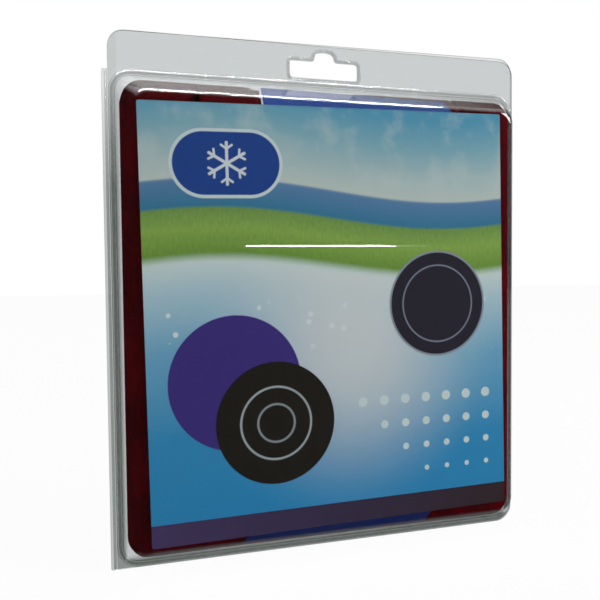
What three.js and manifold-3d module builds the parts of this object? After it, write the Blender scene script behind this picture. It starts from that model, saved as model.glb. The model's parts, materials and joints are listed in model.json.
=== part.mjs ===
// A cooling wallet for insulin in its clear hang pack, in millimetres, Z up, front towards -Y.
// The pack is a two-part thermoformed shell that opens like a book on a fold along its left side.
// The wallet is a cloth cover with a flap, and inside it a quilted pouch with gel crystals in channels.
import * as THREE from "three";
import { mergeVertices } from "three/addons/utils/BufferGeometryUtils.js";
import Module from "manifold-3d";

const wasm = await Module();
wasm.setup();

// The clear shells
const packWidth = 169.6;
const sheetThickness = 0.5;
const sheetGap = 0.3;
const hingeRadius = 1.0;
const hingeToBase = 3.5;
const flangeRightMargin = 2.5;
const baseBottom = 2.4;
const baseTop = 180.9;
const rearTabRise = 1.4;
const tabCornerRadius = 6;
const footCornerRadius = 7;
const baseCornerRadius = 6;
const frontDepth = 14;
const frontInsetX = 6;
const frontInsetZ = 7.6;
const rearInset = 3;
const wallBend = 2;
const wallCornerShare = 0.8;

// The snap rim that runs round the blister
const rimInnerOffset = 0.3;
const rimWidth = 1.6;
const rimSlope = 0.35;
const rimHeight = 1.1;

// The hanger slot through both tabs
const slotWidth = 28.4;
const slotShoulderHeight = 6.9;
const slotBumpWidth = 8.6;
const slotHeight = 10.5;
const slotAboveBase = 3.4;
const slotTopMargin = 2.2;
const slotRimWidth = 1.2;
const slotRimHeight = 0.4;

// The bare raised panel on the front face
const panelWidth = 76;
const panelHeight = 28;
const panelCentreAboveFoot = 105;
const panelRise = 0.6;
const panelCornerRadius = 2;

// The printed cards and the folded leaflet
const cardSideGap = 2.9;
const cardEndGap = 2.15;
const cardThickness = 0.4;
const cardTiltDegrees = 0.97;
const cardShiftX = -1.2;
const cardShiftZ = -0.3;
const topTabWidth = 78;
const topTabShift = 11.8;
const topTabLeftLength = 13.5;
const topTabRightLength = 8.5;
const bottomTabWidth = 76;
const bottomTabShift = 0.8;
const bottomTabLength = 4.4;
const cardCornerRadius = 0.8;
const leafletSideGap = 20.4;
const leafletEndGap = 6.5;

// The wallet's cloth cover
const layerGap = 0.3;
const clothThickness = 1.2;
const tapeThickness = 0.6;
const seamSideGap = 2.7;
const seamFootGap = 3;
const seamTopGap = 3;
const seamCornerRadius = 6.5;
const seamDepth = 12.9;
const bindingRadius = 1.2;
const frontRoundX = 7;
const backRoundX = 4.5;
const mouthSideInset = 23.8;
const mouthDrop = 9.4;

// The flap
const flapSideInset = 26;
const flapDrop = 36;
const flapCornerRadius = 14;
const flapCrown = 2.6;
const flapRootDrop = 9.6;
const flapNotchGap = 2;
const tapeSideInset = 12;
const hookHeight = 18;
const loopHeight = 20;
const tapeAboveFlapEdge = 4;
const labelWidth = 34;
const labelHeight = 14;
const labelThickness = 0.4;
const labelBelowFlap = 16;

// The inner pouch
const pouchSheet = 0.5;
const liningThickness = 0.4;
const gelThickness = 1.6;
const pocketGap = 4.8;
const pouchSideGap = 10;
const pouchFootGap = 10.6;
const pouchTopGap = 17.9;
const pouchCornerRadius = 6;
const gussetThickness = 0.8;
const channelMargin = 5;
const channelGap = 3;
const gelCrownInset = 3;
const channelCount = 5;

// Smoothness of the round stretches, in steps
const cornerSteps = 5;
const bendSteps = 3;
const roundSteps = 5;
const arcSteps = 8;
const cutOverrun = 5;

// Places that follow from the sizes above. Depth y is 0 on the parting plane of the two shells.
const baseHalfWidth = (packWidth - hingeRadius - hingeToBase - flangeRightMargin) / 2;
const blisterX = packWidth / 2 - flangeRightMargin - baseHalfWidth;
const frontTabTop = baseTop + slotAboveBase + slotHeight + slotTopMargin;
const beadTop = baseTop + rimInnerOffset + rimWidth;
const baseHalfHeight = (baseTop - baseBottom) / 2;
const blisterZ = (baseTop + baseBottom) / 2;
const hingeX = hingeRadius - packWidth / 2;
const flangeLeft = hingeX + hingeRadius + sheetGap;
const flangeRight = packWidth / 2;
const halfGap = sheetGap / 2;
const cardFront = sheetThickness + layerGap - frontDepth;
const cardBack = cardFront + cardThickness;
const flapFront = cardBack + layerGap;
const flapBack = flapFront + clothThickness;
const hookFront = flapBack + layerGap;
const loopFront = hookFront + tapeThickness + layerGap;
const panelFront = loopFront + tapeThickness + layerGap;
const pouchFront = panelFront + clothThickness + layerGap;
const frontGel = pouchFront + pouchSheet + layerGap;
const frontLining = frontGel + gelThickness + layerGap;
const pocketFront = frontLining + liningThickness;
const backLining = pocketFront + pocketGap;
const backGel = backLining + liningThickness + layerGap;
const pouchBack = backGel + gelThickness + layerGap;
const backPanelFront = pouchBack + pouchSheet + layerGap;
const backPanelBack = backPanelFront + clothThickness;
const leafletFront = backPanelBack + layerGap;
const rearCardFront = leafletFront + cardThickness + layerGap;
const rearDepth = rearCardFront + cardThickness + layerGap + sheetThickness;
const seamY = cardFront + seamDepth - bindingRadius;
const seamHalfWidth = baseHalfWidth - seamSideGap;
const seamBottom = baseBottom + seamFootGap;
const seamTop = baseTop - seamTopGap;
const seamHalfHeight = (seamTop - seamBottom) / 2;
const walletZ = (seamTop + seamBottom) / 2;
const mouthZ = seamTop - mouthDrop;
const mouthHalfWidth = seamHalfWidth - mouthSideInset;
const flapRootZ = seamTop - flapRootDrop;
const flapHalfWidth = seamHalfWidth - flapSideInset;
const tapeWidth = 2 * (flapHalfWidth - tapeSideInset);
const pouchHalfWidth = seamHalfWidth - pouchSideGap;
const pouchBottom = seamBottom + pouchFootGap;
const pouchTop = seamTop - pouchTopGap;
const cardWidth = 2 * (baseHalfWidth - frontInsetX - cardSideGap);
const cardHeight = 2 * (baseHalfHeight - frontInsetZ - cardEndGap);
const leafletWidth = cardWidth - 2 * leafletSideGap;
const leafletHeight = cardHeight - 2 * leafletEndGap;

/** A rounded rectangle about (0, 0), as a shape whose y stands for height. */
function roundedShape(halfWidth, halfHeight, radius) {
  const shape = new THREE.Shape();
  const [x, z] = [halfWidth - radius, halfHeight - radius];
  shape.absarc(x, z, radius, 0, Math.PI / 2, false);
  shape.absarc(-x, z, radius, Math.PI / 2, Math.PI, false);
  shape.absarc(-x, -z, radius, Math.PI, Math.PI * 1.5, false);
  shape.absarc(x, -z, radius, Math.PI * 1.5, Math.PI * 2, false);
  return shape;
}

/** A shape drawn in width and height, as a plate from depth front to front + thickness. */
function plate(shape, front, thickness, x, z) {
  const geometry = new THREE.ExtrudeGeometry(shape, {
    depth: thickness,
    bevelEnabled: false,
    curveSegments: cornerSteps,
  });
  geometry.rotateX(Math.PI / 2);
  geometry.translate(x, front + thickness, z);
  return geometry;
}

/** A closed box between two corners. */
function block(low, high) {
  const geometry = new THREE.BoxGeometry(high[0] - low[0], high[1] - low[1], high[2] - low[2]);
  geometry.translate((low[0] + high[0]) / 2, (low[1] + high[1]) / 2, (low[2] + high[2]) / 2);
  return geometry;
}

/** Points of a rounded rectangle, corner by corner, always the same number of them. */
function outline(halfWidth, halfHeight, radius) {
  const points = [];
  for (let corner = 0; corner < 4; corner += 1) {
    const signX = corner === 0 || corner === 3 ? 1 : -1;
    const signZ = corner < 2 ? 1 : -1;
    for (let step = 0; step <= cornerSteps; step += 1) {
      const angle = ((corner + step / cornerSteps) * Math.PI) / 2;
      const x = signX * (halfWidth - radius) + radius * Math.cos(angle);
      const z = signZ * (halfHeight - radius) + radius * Math.sin(angle);
      points.push(new THREE.Vector2(x, z));
    }
  }
  return points;
}

/** A closed solid through rings of equal point count, capped at both ends or closed into a hoop. */
function loft(rings, x, z, hoop = false) {
  const count = rings[0].points.length;
  const positions = [];
  const triangles = [];
  for (const ring of rings) {
    for (const point of ring.points) positions.push(point.x + x, ring.y, point.y + z);
  }
  for (let ring = 0; ring < rings.length - (hoop ? 0 : 1); ring += 1) {
    const next = ((ring + 1) % rings.length) * count;
    for (let i = 0; i < count; i += 1) {
      const a = ring * count + i;
      const b = ring * count + ((i + 1) % count);
      const c = next + ((i + 1) % count);
      triangles.push(a, b, c, a, c, next + i);
    }
  }
  const last = (rings.length - 1) * count;
  for (let i = 1; !hoop && i + 1 < count; i += 1) {
    triangles.push(0, i + 1, i, last, last + i, last + i + 1);
  }
  const geometry = new THREE.BufferGeometry();
  geometry.setAttribute("position", new THREE.Float32BufferAttribute(positions, 3));
  geometry.setIndex(triangles);
  return geometry;
}

/** A three.js geometry as a solid to cut and join, turned so that its faces point out. */
function solid(geometry) {
  const bare = geometry.clone();
  bare.deleteAttribute("normal");
  bare.deleteAttribute("uv");
  const merged = mergeVertices(bare);
  const triVerts = new Uint32Array(merged.index.array);
  const vertProperties = new Float32Array(merged.attributes.position.array);
  let volume = 0;
  const [a, b, c] = [new THREE.Vector3(), new THREE.Vector3(), new THREE.Vector3()];
  for (let i = 0; i < triVerts.length; i += 3) {
    a.fromArray(vertProperties, triVerts[i] * 3);
    b.fromArray(vertProperties, triVerts[i + 1] * 3);
    c.fromArray(vertProperties, triVerts[i + 2] * 3);
    volume += a.dot(b.cross(c));
  }
  if (volume < 0) {
    for (let i = 0; i < triVerts.length; i += 3) {
      [triVerts[i + 1], triVerts[i + 2]] = [triVerts[i + 2], triVerts[i + 1]];
    }
  }
  return new wasm.Manifold(new wasm.Mesh({ numProp: 3, vertProperties, triVerts }));
}

/** A solid as a named mesh in its own material. */
function part(name, shape, color, roughness, opacity = 1) {
  const mesh = shape.getMesh();
  const geometry = new THREE.BufferGeometry();
  geometry.setAttribute("position", new THREE.BufferAttribute(mesh.vertProperties, 3));
  geometry.setIndex(new THREE.BufferAttribute(mesh.triVerts, 1));
  geometry.computeVertexNormals();
  const material = new THREE.MeshStandardMaterial({ color, roughness, metalness: 0 });
  material.opacity = opacity;
  material.transparent = opacity < 1;
  const made = new THREE.Mesh(geometry, material);
  made.name = name;
  return made;
}

/** The line of a profile of (offset, depth) points moved sideways by a distance. */
function movedProfile(profile, distance) {
  return profile.map((point, i) => {
    const before = profile[Math.max(i - 1, 0)];
    const after = profile[Math.min(i + 1, profile.length - 1)];
    const into = i > 0 ? point.clone().sub(before).normalize() : after.clone().sub(point).normalize();
    const out = i + 1 < profile.length ? after.clone().sub(point).normalize() : into;
    const normal = new THREE.Vector2(-(into.y + out.y), into.x + out.x).normalize();
    const stretch = 1 / Math.max(normal.dot(new THREE.Vector2(-into.y, into.x)), Math.SQRT1_2);
    return point.clone().addScaledVector(normal, distance * stretch);
  });
}

/** A ring of a shell's wall: offset outward from the base outline where positive, inward where not. */
function shellRing(point, insetX, insetZ) {
  const inward = Math.min(point.x, 0);
  const outward = Math.max(point.x, 0);
  const halfHeight = baseHalfHeight + outward + (inward * insetZ) / insetX;
  const radius = baseCornerRadius + outward + inward * (1 - wallCornerShare);
  return { points: outline(baseHalfWidth + outward + inward, halfHeight, radius), y: point.y };
}

/** A thermoformed sheet along a profile that runs from the flange in to the face. */
function formedSheet(profile, thickness, insetX, insetZ) {
  const far = movedProfile(profile, thickness);
  const rings = [...profile.toReversed(), ...far];
  return solid(loft(rings.map((point) => shellRing(point, insetX, insetZ)), blisterX, blisterZ));
}

/** Profile points from the base fold down the wall and round the bend to the face. */
function wallProfile(inset, depth, side) {
  const bend = wallBend - sheetThickness;
  const slope = Math.atan2(depth, inset);
  const corner = new THREE.Vector2(-inset, side * depth);
  const back = bend * Math.tan(slope / 2);
  const points = [];
  const start = new THREE.Vector2(
    corner.x + back * Math.cos(slope),
    corner.y - side * back * Math.sin(slope),
  );
  const end = new THREE.Vector2(corner.x - back, corner.y);
  for (let step = 0; step <= bendSteps; step += 1) {
    const t = step / bendSteps;
    const near = start.clone().lerp(corner, t);
    points.push(near.lerp(corner.clone().lerp(end, t), t));
  }
  points.push(new THREE.Vector2(end.x - bend, end.y));
  return points;
}

/** The hanger slot: a wide low opening with a round bump in the middle of its top. */
function slotShape(grow) {
  const shape = new THREE.Shape();
  const half = slotWidth / 2 + grow;
  const bump = slotBumpWidth / 2 + grow;
  const end = slotShoulderHeight / 2 + grow;
  const middle = slotShoulderHeight / 2;
  const bumpZ = slotHeight - slotBumpWidth / 2;
  shape.absarc(half - end, middle, end, -Math.PI / 2, Math.PI / 2, false);
  const rise = Math.asin((slotShoulderHeight + grow - bumpZ) / bump);
  shape.absarc(0, bumpZ, bump, rise, Math.PI - rise, false);
  shape.absarc(end - half, middle, end, Math.PI / 2, Math.PI * 1.5, false);
  return shape;
}

/** The flange with its hang tab, from the fold on the left to the right edge. The tab's top may slope. */
function flangeShape(left, top, rightTop) {
  const shape = new THREE.Shape();
  const right = flangeRight;
  shape.moveTo(left, 0);
  shape.lineTo(right - footCornerRadius, 0);
  shape.absarc(right - footCornerRadius, footCornerRadius, footCornerRadius, Math.PI * 1.5, Math.PI * 2, false);
  const [near, far] = [flangeLeft + tabCornerRadius, right - tabCornerRadius];
  shape.absarc(far, rightTop - tabCornerRadius, tabCornerRadius, 0, Math.PI / 2, false);
  shape.absarc(near, top - tabCornerRadius, tabCornerRadius, Math.PI / 2, Math.PI, false);
  if (left < flangeLeft) {
    shape.lineTo(flangeLeft, beadTop);
    shape.lineTo(left, beadTop);
  }
  return shape;
}

/** One shell's flat sheet with the blister's base cut out of it and the slot cut through. */
function flange(left, rightTop, front) {
  const sheet = solid(plate(flangeShape(left, frontTabTop, rightTop), front, sheetThickness, 0, 0));
  const hole = roundedShape(
    baseHalfWidth + rimInnerOffset / 2,
    baseHalfHeight + rimInnerOffset / 2,
    baseCornerRadius,
  );
  const cut = plate(hole, front - cutOverrun, sheetThickness + 2 * cutOverrun, blisterX, blisterZ);
  return sheet.subtract(solid(cut));
}

/** The hole of the hanger slot, and the raised rim round it on a sheet's face. */
function slotCut() {
  const z = baseTop + slotAboveBase;
  return solid(plate(slotShape(0), -cutOverrun, 2 * cutOverrun, 0, z));
}

function slotRim(front, height) {
  return solid(plate(slotShape(slotRimWidth), front, height, 0, baseTop + slotAboveBase));
}

/** The front half: blister, snap rim, tab with slot and the bare raised panel. */
function makeFrontShell() {
  const outer = rimInnerOffset + rimWidth;
  const inner = -halfGap;
  const crest = inner - rimHeight;
  const profile = [
    new THREE.Vector2(outer + rimInnerOffset, inner),
    new THREE.Vector2(outer, inner),
    new THREE.Vector2(outer - rimSlope, crest),
    new THREE.Vector2(rimInnerOffset + rimSlope, crest),
    new THREE.Vector2(rimInnerOffset, inner),
    new THREE.Vector2(0, inner),
    ...wallProfile(frontInsetX, frontDepth - sheetThickness, -1),
  ];
  const blister = formedSheet(profile, sheetThickness, frontInsetX, frontInsetZ);
  const rimPath = roundedShape(baseHalfWidth + outer, baseHalfHeight + outer, baseCornerRadius + outer);
  const rimHole = plate(rimPath, -cutOverrun, 2 * cutOverrun, blisterX, blisterZ);
  const sheet = flange(flangeLeft, frontTabTop, inner - sheetThickness).subtract(solid(rimHole));
  const raised = roundedShape(panelWidth / 2, panelHeight / 2, panelCornerRadius);
  const panelY = -frontDepth - panelRise;
  const rise = solid(plate(raised, panelY, panelRise + sheetThickness / 2, blisterX, panelCentreAboveFoot));
  return blister
    .add(sheet)
    .add(rise)
    .add(slotRim(inner - sheetThickness - slotRimHeight, slotRimHeight + sheetThickness / 2))
    .subtract(slotCut());
}

/** The rear half: shallow tray, matching snap ridge, tab with slot, and the fold's round bead. */
function makeRearShell() {
  const profile = [
    new THREE.Vector2(rimInnerOffset + rimWidth, halfGap),
    new THREE.Vector2(0, halfGap),
    ...wallProfile(rearInset, rearDepth - sheetThickness, 1),
  ];
  const tray = formedSheet(profile, -sheetThickness, rearInset, rearInset);
  const sheet = flange(hingeX, frontTabTop + rearTabRise, halfGap);
  const bead = new THREE.CylinderGeometry(hingeRadius, hingeRadius, beadTop, 2 * arcSteps);
  bead.rotateX(Math.PI / 2);
  bead.translate(hingeX, 0, beadTop / 2);
  return tray.add(sheet).add(snapRidge()).add(solid(bead)).subtract(slotCut());
}

/** The ridge on the rear flange that sits inside the front half's rim. */
function snapRidge() {
  const shrink = sheetGap + rimSlope / 2;
  const rings = [
    [rimInnerOffset + rimWidth - shrink, halfGap + sheetThickness / 2],
    [rimInnerOffset + rimWidth - shrink - rimSlope / 2, sheetGap - rimHeight],
    [rimInnerOffset + shrink + rimSlope / 2, sheetGap - rimHeight],
    [rimInnerOffset + shrink, halfGap + sheetThickness / 2],
  ];
  const ringAt = ([offset, y]) => shellRing(new THREE.Vector2(offset, y), rearInset, rearInset);
  const outer = solid(loft([ringAt(rings[0]), ringAt(rings[1])], blisterX, blisterZ));
  const inner = solid(loft([ringAt([rings[3][0], cutOverrun]), ringAt([rings[3][0], -cutOverrun])], blisterX, blisterZ));
  return outer.subtract(inner);
}

/** A card tab folded back along the shell's sloping wall, its free edge slanting from left to right. */
function cardTab(width, shift, leftLength, rightLength, up) {
  const slope = Math.atan2(frontInsetZ, frontDepth);
  const root = cardThickness / 2;
  const shape = new THREE.Shape();
  shape.moveTo(shift - width / 2, -root);
  shape.lineTo(shift + width / 2, -root);
  shape.lineTo(shift + width / 2, rightLength);
  shape.lineTo(shift - width / 2, leftLength);
  const tab = new THREE.ExtrudeGeometry(shape, { depth: cardThickness, bevelEnabled: false });
  if (!up) tab.translate(0, 0, -cardThickness);
  tab.rotateX(up ? slope : -slope);
  const edge = cardHeight / 2 - cardThickness;
  tab.translate(0, cardThickness / 2, up ? edge : -edge);
  return solid(tab);
}

/** The printed front card: a rounded panel with a narrower tab folded back at its top and foot. */
function makeFrontCard() {
  const shape = roundedShape(cardWidth / 2, cardHeight / 2, cardCornerRadius);
  const panel = solid(plate(shape, 0, cardThickness, 0, 0));
  return panel
    .add(cardTab(topTabWidth, topTabShift, topTabLeftLength, topTabRightLength, true))
    .add(cardTab(bottomTabWidth, bottomTabShift, bottomTabLength, bottomTabLength, false));
}

/** A plain card or leaflet lying behind the wallet. */
function makeFlatCard(width, height, front) {
  const shape = roundedShape(width / 2, height / 2, cardCornerRadius);
  return solid(plate(shape, front, cardThickness, blisterX, blisterZ + cardShiftZ));
}

/** Rings of a cloth panel's surface, from its seam round to its flat face. */
function clothRings(roundX, roundY, startY, side, inward) {
  const rings = [];
  for (let step = 0; step <= roundSteps; step += 1) {
    const angle = ((step / roundSteps) * Math.PI) / 2;
    const offset = inward + (roundX - inward) * (1 - Math.cos(angle));
    const y = startY + side * (roundY - inward) * Math.sin(angle);
    const radius = seamCornerRadius - inward / 2;
    rings.push({ points: outline(seamHalfWidth - offset, seamHalfHeight - offset, radius), y });
  }
  return rings;
}

/** A cloth panel of the cover: a flat face whose edges turn round to the seam. */
function clothDish(roundX, roundY, startY, side) {
  const inner = clothRings(roundX, roundY, startY, side, clothThickness).toReversed();
  const outer = clothRings(roundX, roundY, startY, side, 0);
  return solid(loft([...inner, ...outer], blisterX, walletZ));
}

/** The cover's front, open along its top for the pouch. */
function makeCoverFront() {
  const start = seamY - bindingRadius - layerGap;
  const dish = clothDish(frontRoundX, start - panelFront, start, -1);
  const low = [blisterX - mouthHalfWidth, panelFront - cutOverrun, mouthZ];
  const high = [blisterX + mouthHalfWidth, cutOverrun, seamTop + cutOverrun];
  return dish.subtract(solid(block(low, high)));
}

/** The cover's back, notched at its top edge where the flap grows from it. */
function makeCoverBack() {
  const start = seamY + bindingRadius + layerGap;
  const dish = clothDish(backRoundX, backPanelBack - start, start, 1);
  const notch = flapHalfWidth + flapNotchGap;
  const low = [blisterX - notch, seamY - cutOverrun, flapRootZ];
  const high = [blisterX + notch, rearDepth + cutOverrun, seamTop + cutOverrun];
  return dish.subtract(solid(block(low, high)));
}

/** The tape bound over the cover's raw edge, down one side, across the foot and up the other. */
function makeBinding() {
  const rings = [];
  for (let step = 0; step < arcSteps; step += 1) {
    const angle = (step / arcSteps) * Math.PI * 2;
    const offset = bindingRadius * Math.cos(angle);
    const points = outline(seamHalfWidth + offset, seamHalfHeight + offset, seamCornerRadius + offset);
    rings.push({ points, y: seamY + bindingRadius * Math.sin(angle) });
  }
  const top = seamTop - seamCornerRadius;
  const low = [-packWidth, -cutOverrun - frontDepth, top];
  const high = [packWidth, rearDepth + cutOverrun, seamTop + cutOverrun];
  return solid(loft(rings, blisterX, walletZ, true)).subtract(solid(block(low, high)));
}

/** The flap: from the back's top edge over the mouth and down the front, with rounded corners. */
function makeFlap() {
  const outerHalf = (backPanelBack - flapFront) / 2;
  const innerHalf = outerHalf - clothThickness;
  const steps = 2 * arcSteps;
  const section = new THREE.Shape();
  section.moveTo(-outerHalf, -flapDrop);
  for (let step = 0; step <= steps; step += 1) {
    const angle = Math.PI * (1 - step / steps);
    section.lineTo(outerHalf * Math.cos(angle), (flapCrown + clothThickness) * Math.sin(angle));
  }
  for (let step = 0; step <= steps; step += 1) {
    const angle = (Math.PI * step) / steps;
    section.lineTo(innerHalf * Math.cos(angle), flapCrown * Math.sin(angle));
  }
  section.lineTo(-innerHalf, -flapDrop);
  const strip = new THREE.ExtrudeGeometry(section, { depth: 2 * flapHalfWidth, bevelEnabled: false });
  // The section is drawn in depth and height and swept along its third axis, which becomes the width.
  strip.applyMatrix4(new THREE.Matrix4().set(0, 0, 1, 0, 1, 0, 0, 0, 0, 1, 0, 0, 0, 0, 0, 1));
  const middle = (backPanelBack + flapFront) / 2;
  strip.translate(blisterX - flapHalfWidth, middle, flapRootZ + layerGap);
  const reach = flapDrop + flapCrown + clothThickness + flapCornerRadius + cutOverrun;
  const edge = plate(
    roundedShape(flapHalfWidth, reach / 2, flapCornerRadius),
    flapFront - cutOverrun,
    2 * (outerHalf + cutOverrun),
    blisterX,
    flapRootZ + layerGap - flapDrop + reach / 2,
  );
  return solid(strip).intersect(solid(edge));
}

/** A flat piece of tape or label, given its middle height and its front face's depth. */
function makePatch(width, height, thickness, front, z) {
  const shape = roundedShape(width / 2, height / 2, thickness);
  return solid(plate(shape, front, thickness, blisterX, z));
}

/** A sheet of the pouch, as wide as its half width says. */
function makePouchSheet(front, thickness, halfWidth) {
  const halfHeight = (pouchTop - pouchBottom) / 2 - (pouchHalfWidth - halfWidth);
  const shape = roundedShape(halfWidth, halfHeight, pouchCornerRadius);
  return solid(plate(shape, front, thickness, blisterX, (pouchTop + pouchBottom) / 2));
}

/** The sewn edge band that closes the pouch at both sides and its foot. */
function makeGusset() {
  const depth = pouchBack - layerGap - frontGel;
  const outer = makePouchSheet(frontGel, depth, pouchHalfWidth);
  const inner = makePouchSheet(frontGel - cutOverrun, depth + 2 * cutOverrun, pouchHalfWidth - gussetThickness);
  const low = [blisterX - packWidth, frontGel - cutOverrun, pouchTop - pouchCornerRadius];
  const high = [blisterX + packWidth, rearDepth + cutOverrun, pouchTop + cutOverrun];
  return outer.subtract(inner).subtract(solid(block(low, high)));
}

/** One sewn channel's fill of gel crystals, domed towards both of its long edges. */
function makeGel(front, index) {
  const half = pouchHalfWidth - gussetThickness - layerGap - channelMargin;
  const usable = pouchTop - pouchBottom - 2 * channelMargin;
  const height = (usable - (channelCount - 1) * channelGap) / channelCount;
  const z = pouchBottom + channelMargin + height / 2 + index * (height + channelGap);
  const ring = (inset, y) => ({ points: outline(half - inset, height / 2 - inset, gelCrownInset + gelThickness), y });
  const crown = gelCrownInset / 2;
  const rings = [ring(crown, front), ring(0, front + gelThickness / 2), ring(crown, front + gelThickness)];
  return solid(loft(rings, blisterX, z));
}

const red = 0x560912;
const clear = 0xd9dee0;
const flapEdgeZ = flapRootZ + layerGap - flapDrop;
const tapeZ = flapEdgeZ + tapeAboveFlapEdge + loopHeight / 2;
const liningHalf = pouchHalfWidth - gussetThickness - layerGap;

const pack = new THREE.Group();
pack.add(
  part("rear_shell", makeRearShell(), clear, 0.08, 0.3),
  part("rear_card", makeFlatCard(cardWidth, cardHeight, rearCardFront), 0xe6e8e8, 0.6),
  part("leaflet", makeFlatCard(leafletWidth, leafletHeight, leafletFront), 0xf2f1ec, 0.8),
);

const frontCard = part("front_card", makeFrontCard(), 0x3a7fae, 0.45);
frontCard.position.set(blisterX + cardShiftX, cardFront, blisterZ + cardShiftZ);
frontCard.rotation.y = -THREE.MathUtils.degToRad(cardTiltDegrees);

const frontCover = new THREE.Group();
frontCover.add(part("front_shell", makeFrontShell(), clear, 0.08, 0.3), frontCard);

const wallet = new THREE.Group();
wallet.add(
  part("cover_front", makeCoverFront(), red, 0.95),
  part("cover_back", makeCoverBack(), red, 0.95),
  part("edge_binding", makeBinding(), 0x7a0f1c, 0.9),
  part("loop_tape", makePatch(tapeWidth, loopHeight, tapeThickness, loopFront, tapeZ), 0x2a0508, 1),
  part(
    "blank_label",
    makePatch(labelWidth, labelHeight, labelThickness, panelFront - layerGap - labelThickness, flapEdgeZ - labelBelowFlap),
    0x15151a,
    0.7,
  ),
  part("pouch_front_sheet", makePouchSheet(pouchFront, pouchSheet, pouchHalfWidth), 0xc9c4ba, 0.95),
  part("pouch_front_lining", makePouchSheet(frontLining, liningThickness, liningHalf), 0xd8d4ca, 0.95),
  part("pouch_back_lining", makePouchSheet(backLining, liningThickness, liningHalf), 0xd8d4ca, 0.95),
  part("pouch_back_sheet", makePouchSheet(pouchBack, pouchSheet, pouchHalfWidth), 0xc9c4ba, 0.95),
  part("pouch_gusset", makeGusset(), 0xb9b3a8, 0.95),
);
for (let i = 0; i < channelCount; i += 1) {
  wallet.add(
    part(`gel_front_${i + 1}`, makeGel(frontGel, i), 0xe9ecee, 0.3),
    part(`gel_back_${i + 1}`, makeGel(backGel, i), 0xe9ecee, 0.3),
  );
}

const flap = new THREE.Group();
flap.add(
  part("flap", makeFlap(), red, 0.95),
  part("hook_tape", makePatch(tapeWidth, hookHeight, tapeThickness, hookFront, tapeZ), 0x2a0508, 0.9),
);

wallet.add(flap);
pack.add(frontCover, wallet);

// The frame's origin is under the middle of the pack's depth, and the parting plane lies off it.
const object = new THREE.Group();
pack.position.y = (frontDepth + panelRise - rearDepth) / 2;
object.add(pack);

export default object;
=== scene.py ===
"""Looks of a cooling wallet for insulin in its clear hang pack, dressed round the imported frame.

The pack is a two-part thermoformed shell that opens like a book. Behind its front lies a printed card,
and inside it a cloth wallet with a flap and a quilted pouch. Lengths here are millimetres until a mesh
is finished, and depths count from the plane where the two shells meet, negative towards the front.
"""

import json
import logging
import math
from collections.abc import Iterable
from dataclasses import dataclass, field
from enum import Enum

import bmesh
import bpy
from mathutils import Euler, Matrix, Vector, noise


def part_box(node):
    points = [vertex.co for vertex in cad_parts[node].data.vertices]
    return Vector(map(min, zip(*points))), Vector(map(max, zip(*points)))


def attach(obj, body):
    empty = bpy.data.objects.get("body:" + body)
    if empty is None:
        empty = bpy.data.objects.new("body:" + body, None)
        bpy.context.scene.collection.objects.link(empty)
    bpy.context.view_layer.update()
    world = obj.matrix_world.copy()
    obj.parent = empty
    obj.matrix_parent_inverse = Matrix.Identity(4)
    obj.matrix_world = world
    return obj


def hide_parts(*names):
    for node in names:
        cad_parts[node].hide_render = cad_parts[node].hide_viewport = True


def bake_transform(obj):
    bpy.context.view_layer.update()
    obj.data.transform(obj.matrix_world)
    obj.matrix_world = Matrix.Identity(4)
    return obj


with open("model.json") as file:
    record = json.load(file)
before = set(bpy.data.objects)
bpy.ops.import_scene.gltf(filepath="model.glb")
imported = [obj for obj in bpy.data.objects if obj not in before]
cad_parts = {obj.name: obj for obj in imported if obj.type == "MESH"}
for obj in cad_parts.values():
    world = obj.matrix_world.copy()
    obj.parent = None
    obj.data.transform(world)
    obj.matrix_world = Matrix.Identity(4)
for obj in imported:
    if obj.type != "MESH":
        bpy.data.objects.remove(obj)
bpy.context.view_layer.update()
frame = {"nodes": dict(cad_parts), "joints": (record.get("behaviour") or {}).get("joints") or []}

MM = 0.001
JOINTS = {joint["name"]: joint for joint in frame["joints"]}
FOLD_X, PARTING_Y = (place / MM for place in JOINTS["shell_hinge"]["pos_m"][:2])
FLAP_ROOT = JOINTS["flap_hinge"]["pos_m"][2] / MM
log = logging.getLogger("pack")

Mesh = bmesh.types.BMesh
Edges = list[bmesh.types.BMEdge]
Pair = tuple[float, float]
Triple = tuple[float, float, float]
Profile = list[Pair]
Piece = bpy.types.Object
Material = bpy.types.Material
Tree = bpy.types.NodeTree
Node = bpy.types.Node
Socket = bpy.types.NodeSocket
Source = Node | Socket | float | tuple[float, ...]


@dataclass
class Box:
    """A box in millimetres, with depths counted from the parting plane."""

    low: Vector
    high: Vector

    def __post_init__(self) -> None:
        """Works out its middle and its size."""
        self.x, self.y, self.z = ((high + low) / 2 for low, high in zip(self.low, self.high))
        self.wide, self.deep, self.tall = (high - low for low, high in zip(self.low, self.high))


def box_of(node: str) -> Box:
    """The box of a frame node."""
    return Box(*(Vector(corner) / MM - Vector((0, PARTING_Y, 0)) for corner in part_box(node)))


# Colours and nodes


def linear(code: int) -> tuple[float, float, float, float]:
    """Turns an sRGB colour 0xRRGGBB to the linear one that a shader takes, with an alpha of 1."""
    parts = [(code >> shift & 255) / 255 for shift in (16, 8, 0)]
    red, green, blue = (c / 12.92 if c <= 0.04045 else ((c + 0.055) / 1.055) ** 2.4 for c in parts)
    return red, green, blue, 1.0


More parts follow.
